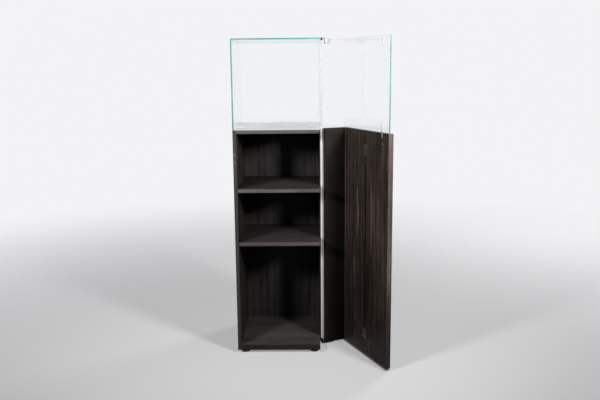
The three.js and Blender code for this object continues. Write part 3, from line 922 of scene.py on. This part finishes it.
# %% [markdown]
# ## Metals and plastics
#
# Coated steel is black or bronze-brown lacquer that has rubbed through on its edges. Plated steel
# has fine brush lines and a cloudy shine. Moulded plastic has a fine grain and hardly shines. Each
# piece could be coloured by itself, but three recipes keep them all of one family.

# %% Coated steel
def coated_steel(name, coat, bare, wear, shine):
    """Lacquered steel. wear is how much of the bare metal shows on the edges."""
    material, tree, shader = new_material(name)
    place = ruler(tree, "grain_at")
    tone = blend_colour(tree, clouds(tree, place, 40.0), coat, toned(coat, 1.3))
    rubbed = scaled(tree, edge_nearness(tree, 0.25 * MM, 0.7 * MM), wear)
    orange_peel = noise(tree, place, 420.0)
    fill(tree, shader, {
        "Base Color": blend_colour(tree, rubbed, tone, bare),
        "Roughness": scaled(tree, orange_peel, 0.15, 0.34),
        "Normal": bump(tree, orange_peel, 0.03 * MM, 0.4),
        "Specular IOR Level": shine,
    })
    return material


black_steel = coated_steel("black_steel", (0.010, 0.010, 0.011), (0.20, 0.20, 0.21), 0.3, 0.05)
bronze_plate = coated_steel("bronze_plate", (0.052, 0.046, 0.042), (0.16, 0.14, 0.12), 0.2, 0.2)
print("coated steel:", black_steel.name, bronze_plate.name)

# %% Plated steel and moulded plastic
def plated_steel(name, colour, roughness=0.2):
    """Bright metal with fine brush lines."""
    material, tree, shader = new_material(name)
    place = ruler(tree, "grain_at")
    lines = drawn_out(tree, place, 2400.0, 60.0, 2.0)
    fill(tree, shader, {
        "Base Color": blend_colour(tree, clouds(tree, place, 220.0), colour, toned(colour, 0.82)),
        "Roughness": scaled(tree, lines, 0.2, roughness),
        "Normal": bump(tree, lines, 0.01 * MM, 0.4),
        "Metallic": 1.0,
    })
    return material


def moulded_plastic(name, colour, roughness):
    """Plastic with the fine grain of its mould."""
    material, tree, shader = new_material(name)
    place = ruler(tree, "grain_at")
    grain = noise(tree, place, 1300.0, 2.0)
    fill(tree, shader, {
        "Base Color": blend_colour(tree, clouds(tree, place, 60.0), colour, toned(colour, 0.85)),
        "Roughness": scaled(tree, grain, 0.2, roughness),
        "Normal": bump(tree, grain, 0.03 * MM, 0.5),
    })
    return material


print("plating and plastic ready")

# %% Choose each small piece's finish
FINISHES = {
    "black_steel": black_steel,
    "bronze_plate": bronze_plate,
    "bright_steel": plated_steel("bright_steel", (0.84, 0.84, 0.86)),
    "edge_strip": moulded_plastic("edge_strip", (0.15, 0.147, 0.15), 0.45),
    "pale_nylon": moulded_plastic("pale_nylon", (0.70, 0.67, 0.61), 0.45),
    "foot_plastic": moulded_plastic("foot_plastic", (0.014, 0.014, 0.016), 0.5),
}
worn_plating = plated_steel("worn_plating", (0.26, 0.25, 0.245))
satin_nickel = plated_steel("satin_nickel", (0.30, 0.30, 0.305), 0.45)
OWN_FINISH = {
    "catch_screw_upper": worn_plating,
    "catch_screw_lower": worn_plating,
    "upper_pivot_clamp": satin_nickel,
    "upper_clamp_screw": satin_nickel,
}


def finish_of(node):
    """The material of a small piece: its own where it has one, else its slot's."""
    return OWN_FINISH.get(node, FINISHES.get(slot_of_node[node]))


print("finishes by slot:", ", ".join(FINISHES))

# %% [markdown]
# ## Brackets, plates and clamps
#
# These are pressed, cut or moulded, and hold the door and its glass. Modelling them again would
# risk their holes, so they keep the frame's shape, with their edges eased as a press or a tumbler
# leaves them. Only the width of the ease differs, so a table is enough.

# %% Ease the small fittings
FITTING_EASE_MM = {
    "lower_pivot_bracket": 0.3,
    "upper_pivot_bracket": 0.3,
    "upper_pivot_clamp": 0.3,
    "lower_pivot_shoe": 0.3,
    "straightener_end_upper": 0.4,
    "straightener_end_lower": 0.4,
    "catch_plate": 0.3,
    "catch_keeper": 0.25,
    "glass_clamp_lower": 0.3,
    "glass_clamp_upper": 0.3,
    "bottom_edge_strip": 0.8,
}
SHORTEST_EASED = 1.9 * MM
for sheet, (node, ease) in enumerate(FITTING_EASE_MM.items(), start=40):
    eased_piece(node, "fitting", finish_of(node), ease * MM, 2, SHORTEST_EASED, sheet=sheet)
print("fittings made:", len(FITTING_EASE_MM))

# %% [markdown]
# ## Turned parts
#
# Pins, washers, feet, the rod and the screws are all round, so we do what a lathe does: draw half
# of the section and spin it about an axis. Ready-made cylinders would need their rims rounded one
# by one, and here a rounded rim is just a few more points. A section that starts and ends on the
# axis gives a closed body. One that closes on itself, as a washer's does, gives a ring.

# %% Spin a section
SPOKES = 32


def ring_of(shape, radius, height):
    """The vertices that a point of the section leaves as it spins, one if it is on the axis."""
    if radius == 0:
        return [shape.verts.new((0.0, 0.0, height))]
    angles = [2 * math.pi * spoke / SPOKES for spoke in range(SPOKES)]
    places = [(radius * math.cos(a), radius * math.sin(a), height) for a in angles]
    return [shape.verts.new(place) for place in places]


def turned(name, section, ring=False):
    """A closed mesh from (radius, height) points spun about the vertical axis."""
    shape = bmesh.new()
    rings = [ring_of(shape, radius, height) for radius, height in section]
    pairs = list(zip(rings, rings[1:]))
    if ring:
        pairs.append((rings[-1], rings[0]))
    for inner, outer in pairs:
        for i in range(SPOKES):
            j = (i + 1) % SPOKES
            corners = [inner[i % len(inner)], inner[j % len(inner)]]
            corners += [outer[j % len(outer)], outer[i % len(outer)]]
            shape.faces.new(list(dict.fromkeys(corners)))
    bmesh.ops.recalc_face_normals(shape, faces=shape.faces)
    return mesh_from(shape, name)


print("corners in a turned ring:", SPOKES)

# %% Stand a turned piece where it belongs
UP = Vector((0, 0, 1))


def stand_on(mesh, point, direction):
    """Turns a mesh made about the vertical so that it runs from point along direction."""
    turn_to = UP.rotation_difference(direction).to_matrix().to_4x4()
    mesh.transform(Matrix.Translation(point) @ turn_to)


def turned_piece(node, suffix, section, point, direction, ring=False):
    """Spins a section and stands it at a point, in place of a node."""
    name = f"{node}_{suffix}"
    mesh = turned(name, section, ring)
    add_ruler(mesh)
    stand_on(mesh, point, direction)
    mesh.materials.append(finish_of(node))
    return place_piece(mesh, name, node)


def standing_size(node):
    """The middle of a node's underside, its radius and its height."""
    low, high = square_box(node)
    foot = Vector(((low.x + high.x) / 2, (low.y + high.y) / 2, low.z))
    return foot, (high.x - low.x) / 2, high.z - low.z


def ends_of(node):
    """The middles of a node's two ends along its longest side."""
    low, high = square_box(node)
    axis = max(range(3), key=lambda a: (high - low)[a])
    start = (low + high) / 2
    end = start.copy()
    start[axis], end[axis] = low[axis], high[axis]
    return start, end


print("turned pieces can stand")

# %% Turn the pins and the rod
PIN_RIM, ROD_RIM = 0.5 * MM, 0.8 * MM


def rounded_bar(radius, length, rim):
    """Half section of a bar with rounded rims, from one end's middle to the other's."""
    quarter = [math.radians(a) for a in (0, 30, 60, 90)]
    core, top = radius - rim, length - rim
    low_rim = [(core + rim * math.sin(a), rim - rim * math.cos(a)) for a in quarter]
    high_rim = [(core + rim * math.cos(a), top + rim * math.sin(a)) for a in quarter]
    return [(0, 0)] + low_rim + high_rim + [(0, length)]


def turned_bar(node, rim):
    """A rounded bar in place of a node that is a plain round bar."""
    start, end = ends_of(node)
    low, high = square_box(node)
    section = rounded_bar(min(high - low) / 2, (end - start).length, rim)
    return turned_piece(node, "turned", section, start, end - start)


PINS = [node for node in frame["nodes"] if "shelf_pin" in node or node.endswith("pivot_pin")]
for node in PINS:
    turned_bar(node, PIN_RIM)
turned_bar("straightener_rod", ROD_RIM)
print("bars turned:", len(PINS) + 1)

# %% [markdown]
# ## Washers, cap and feet
#
# The nylon washers are flat rings with soft rims, and the little cover cap is a shallow dome. A
# foot is a black glide: a wide base that is rounded at the floor, with a groove under its collar.
# Each is one more section for the same lathe.

# %% Washers
PIVOT_HOLE_RADIUS = 2.65 * MM
WASHER_RIM = 0.15 * MM


def washer(node, hole, rim):
    """A flat ring around the pivot pin."""
    foot, outer, height = standing_size(node)
    section = [
        (hole, rim), (hole + rim, 0), (outer - rim, 0), (outer, rim),
        (outer, height - rim), (outer - rim, height), (hole + rim, height), (hole, height - rim),
    ]
    return turned_piece(node, "ring", section, foot, UP, ring=True)


WASHERS = ("lower_pivot_washer", "upper_pivot_washer")
for node in WASHERS:
    washer(node, PIVOT_HOLE_RADIUS, WASHER_RIM)
print("washers made:", len(WASHERS))

# %% Cover cap
CAP_RIM_SHARE = 0.35
CAP_FULLNESS = 0.6


def cover_cap(node):
    """A shallow dome that stands off the door's inner face."""
    low, high = square_box(node)
    radius, height = (high.z - low.z) / 2, high.y - low.y
    dome_share = 1 - CAP_RIM_SHARE
    dome = [
        (radius * math.cos(a) ** CAP_FULLNESS, height * (CAP_RIM_SHARE + dome_share * math.sin(a)))
        for a in (math.radians(degrees) for degrees in range(0, 90, 15))
    ]
    section = [(0, 0), (radius, 0)] + dome + [(0, height)]
    point = Vector(((low.x + high.x) / 2, low.y, (low.z + high.z) / 2))
    return turned_piece(node, "dome", section, point, Vector((0, 1, 0)))


cap = cover_cap("clamp_cover_cap")
print("cap made:", cap.name)

# %% Feet
FOOT_GROOVE, FOOT_COLLAR, FOOT_RIM = 0.8 * MM, 4 * MM, 0.4 * MM


def glide(node):
    """A round foot with a rounded base and a groove below its collar."""
    foot, radius, height = standing_size(node)
    collar = height - FOOT_COLLAR
    section = [
        (0, 0), (radius - 3 * MM, 0), (radius - 1.2 * MM, 0.5 * MM), (radius - 0.3 * MM, 1.6 * MM),
        (radius, 3 * MM), (radius, collar - 2 * FOOT_GROOVE),
        (radius - FOOT_GROOVE, collar - FOOT_GROOVE), (radius, collar),
        (radius, height - FOOT_RIM), (radius - FOOT_RIM, height), (0, height),
    ]
    return turned_piece(node, "glide", section, foot, UP)


FEET = [node for node in frame["nodes"] if node.startswith("foot_")]
for node in FEET:
    glide(node)
print("feet made:", len(FEET))

# %% [markdown]
# ## Screws
#
# A screw is turned too, and then its cross recess is cut. A dark cross in the material would never
# look cut from close by, so we make the shape once, with a boolean cut, and copy it. Which way
# each screw points could be a list kept by hand, but the solid itself knows: the head is at the
# end where it is widest.

# %% The cutter for the cross recess
RECESS_LENGTH, RECESS_WIDTH, RECESS_DEPTH = 3.4 * MM, 0.8 * MM, 0.45 * MM
RECESS_FLOOR_SHARE = 0.7
CUTTER_OVERHANG = 0.5 * MM


def cross_bars():
    """The cutter for a cross recess: two bars through the head's top, fused."""
    half, thin = RECESS_LENGTH / 2, RECESS_WIDTH / 2
    arm = [(half, -thin), (half, thin), (thin, thin)]
    outline = []
    for quarter in range(4):
        outline += arm
        arm = [(-y, x) for x, y in arm]
    shape = bmesh.new()
    share = RECESS_FLOOR_SHARE
    low = [shape.verts.new((x * share, y * share, RECESS_DEPTH)) for x, y in outline]
    high = [shape.verts.new((x, y, -CUTTER_OVERHANG)) for x, y in outline]
    for i in range(len(outline)):
        j = (i + 1) % len(outline)
        shape.faces.new((low[i], low[j], high[j], high[i]))
    shape.faces.new(low)
    shape.faces.new(list(reversed(high)))
    bmesh.ops.recalc_face_normals(shape, faces=shape.faces)
    return mesh_from(shape, "cross_bars")


print("recess:", round(RECESS_LENGTH / MM, 2), "mm long,", round(RECESS_DEPTH / MM, 2), "mm deep")

# %% Make one screw
HEAD_RADIUS, HEAD_HEIGHT, HEAD_CROWN = 3.0 * MM, 0.6 * MM, 0.25 * MM
SHANK_RADIUS, POINT_LENGTH = 1.6 * MM, 2 * MM


def screw_mesh(length):
    """A screw whose head's top is at height 0 and whose shank points up the vertical axis."""
    section = [
        (0, 0), (HEAD_RADIUS * 0.55, 0.02 * MM), (HEAD_RADIUS * 0.85, 0.1 * MM),
        (HEAD_RADIUS, HEAD_CROWN), (HEAD_RADIUS, HEAD_HEIGHT), (SHANK_RADIUS, HEAD_HEIGHT),
        (SHANK_RADIUS, length - POINT_LENGTH), (0, length),
    ]
    blank = add_object("screw_blank", turned("screw", section))
    cutter = add_object("screw_cutter", cross_bars())
    cut = blank.modifiers.new("recess", "BOOLEAN")
    cut.object, cut.operation, cut.solver = cutter, "DIFFERENCE", "EXACT"
    ready = blank.evaluated_get(bpy.context.evaluated_depsgraph_get())
    finished = bpy.data.meshes.new_from_object(ready)
    for piece in (blank, cutter):
        bpy.data.objects.remove(piece)
    return finished


SCREWS = [node for node in frame["nodes"] if "screw" in node]
start, end = ends_of(SCREWS[0])
one_screw = screw_mesh((end - start).length)
print("screw length:", round((end - start).length / MM, 1), "mm, faces:", len(one_screw.polygons))

# %% Put a screw in each hole
END_REACH = 0.1 * MM


def width_at(points, tip, way):
    """How far the points near a tip lie from the line through it along way."""
    beside = [(p - tip) - way * (p - tip).dot(way) for p in points]
    near = [offset for p, offset in zip(points, beside) if abs((p - tip).dot(way)) < END_REACH]
    return max(offset.length for offset in near)


def head_end(node):
    """The middle of a screw's head top and the direction of its shank, in square axes."""
    start, end = ends_of(node)
    points = own_points(node)
    way = (end - start).normalized()
    if width_at(points, start, way) > width_at(points, end, way):
        return start, way
    return end, -way


for node in SCREWS:
    mesh = one_screw.copy()
    mesh.name = f"{node}_cross"
    add_ruler(mesh)
    stand_on(mesh, *head_end(node))
    mesh.materials.clear()
    mesh.materials.append(finish_of(node))
    place_piece(mesh, f"{node}_cross", node)
print("screws made:", len(SCREWS))

# %% [markdown]
# ## The room
#
# The object should be judged in plain light, on a pale floor with nothing around it. A closed
# white room would also light the case from all sides and wash out the shade inside. So the
# surroundings are pale only for rays that show them: from the camera, off a gloss or through
# glass. Rays that carry light from surface to surface see them dim.
#
# There is one trap. A ray that leaves the deck and passes a pane also counts as going through
# glass, and would bring in the bright surroundings as light. `Diffuse Depth` tells it apart.

# %% Tell which rays show the surroundings
BACKGROUND, AMBIENT = 0.92, 0.05
ROOM_TINT = (0.972, 0.972, 1.0, 1.0)


def shown_ray(tree):
    """1 for a ray from the camera, off a gloss or through glass, 0 for any scattered one."""
    path = add(tree, "ShaderNodeLightPath").outputs
    total = calculate(tree, "ADD", path["Is Camera Ray"], path["Is Glossy Ray"])
    total = calculate(tree, "ADD", total, path["Is Transmission Ray"], clamp=True)
    unscattered = calculate(tree, "LESS_THAN", path["Diffuse Depth"], 0.5)
    return calculate(tree, "MULTIPLY", total, unscattered)


world = bpy.data.worlds.new("room")
world.use_nodes = True
bpy.context.scene.world = world
room = world.node_tree
levels = {"Value": shown_ray(room), "To Min": AMBIENT, "To Max": BACKGROUND}
strength = add(room, "ShaderNodeMapRange", levels).outputs[0]
fill(room, room.nodes["Background"], {"Color": ROOM_TINT, "Strength": strength})
bpy.context.scene.view_settings.view_transform = "Standard"
print("background:", BACKGROUND, "and as light:", AMBIENT)

# %% [markdown]
# ## The floor
#
# A flat disc would end in a horizon. Near the case ours is a real surface, so that it takes the
# shadow, and further out it fades into the background's own glow, as a studio's paper sweep does.

# %% Lay the floor
FLOOR_RADIUS, FLOOR_THICKNESS = 60.0, 0.02
FLOOR_PALE, FLOOR_DIM = 0.80, 0.10
FLOOR_GLOW = 0.28
SWEEP_START, SWEEP_END = 0.7, 4.2


def floor_paper():
    """Pale paper that fades into the background with the distance from the case."""
    material, tree, shader = new_material("floor")
    shown = shown_ray(tree)
    place = add(tree, "ShaderNodeTexCoord").outputs["Object"]
    distance = vector_sum(tree, "LENGTH", place).outputs["Value"]
    sweep = band(tree, distance, SWEEP_START, SWEEP_END)
    pale = scaled(tree, shown, FLOOR_PALE - FLOOR_DIM, FLOOR_DIM)
    albedo = calculate(tree, "MULTIPLY", pale, calculate(tree, "SUBTRACT", 1.0, sweep))
    grey = add(tree, "ShaderNodeCombineColor", {0: albedo, 1: albedo, 2: albedo})
    glow = scaled(tree, sweep, BACKGROUND - FLOOR_GLOW, FLOOR_GLOW)
    fill(tree, shader, {
        "Base Color": grey.outputs[0],
        "Emission Color": ROOM_TINT,
        "Emission Strength": calculate(tree, "MULTIPLY", glow, shown),
        "Roughness": 0.9,
        "Specular IOR Level": 0.0,
    })
    return material


under = -FLOOR_THICKNESS
floor_mesh = turned("floor", [(0, 0), (FLOOR_RADIUS, 0), (FLOOR_RADIUS, under), (0, under)])
floor_mesh.materials.append(floor_paper())
floor = add_object("floor", floor_mesh)
print("floor radius:", FLOOR_RADIUS, "m")

# %% [markdown]
# ## Two softboxes and a fill
#
# The shadows in the picture give the lamps away. Each side panel throws an edge of shade across
# the shelves, and the two edges meet near the middle, so one lamp stands front left and one front
# right, a little over two metres away. How far the shade under each board reaches gives their
# height. A sun lamp would be simpler, but its rays are parallel, and these shadows fan out. The
# boxes are aimed level, with their light spread wide. A large dim lamp behind keeps the back from
# going black, and the glass doesn't mirror it, as it would hide the open door's pane.

# %% Place the lamps
SOFTBOXES = {
    # right of the middle, before the board fronts, height, power
    "softbox_left": (-1.36, 1.62, 1.70, 20.0),
    "softbox_right": (1.50, 1.556, 1.62, 22.0),
}
SOFTBOX_SIZE, SOFTBOX_SPREAD = 0.40, math.radians(120)
FILL_PLACE, FILL_TARGET = Vector((2.6, 2.9, 1.9)), Vector((0, 0, 0.7))
FILL_SIZE, FILL_POWER = 1.2, 40.0


def aimed_lamp(name, place, target, size, power):
    """A square lamp at a place, turned towards a target, both seen from the front middle."""
    data = bpy.data.lights.new(name, "AREA")
    data.shape = "SQUARE"
    data.size = size
    data.energy = power
    lamp = add_object(name, data)
    facing = (target - place).to_track_quat("-Z", "Y").to_matrix().to_4x4()
    lamp.matrix_world = Matrix.Translation(front_middle + place) @ facing
    return lamp


for name, (right, before, height, power) in SOFTBOXES.items():
    place, level_target = Vector((right, -before, height)), Vector((0, 0, height))
    softbox = aimed_lamp(name, place, level_target, SOFTBOX_SIZE, power)
    softbox.data.spread = SOFTBOX_SPREAD

back_fill = aimed_lamp("back_fill", FILL_PLACE, FILL_TARGET, FILL_SIZE, FILL_POWER)
back_fill.visible_glossy = False
back_fill.visible_transmission = False
print("softboxes:", len(SOFTBOXES), "and a dim fill behind")
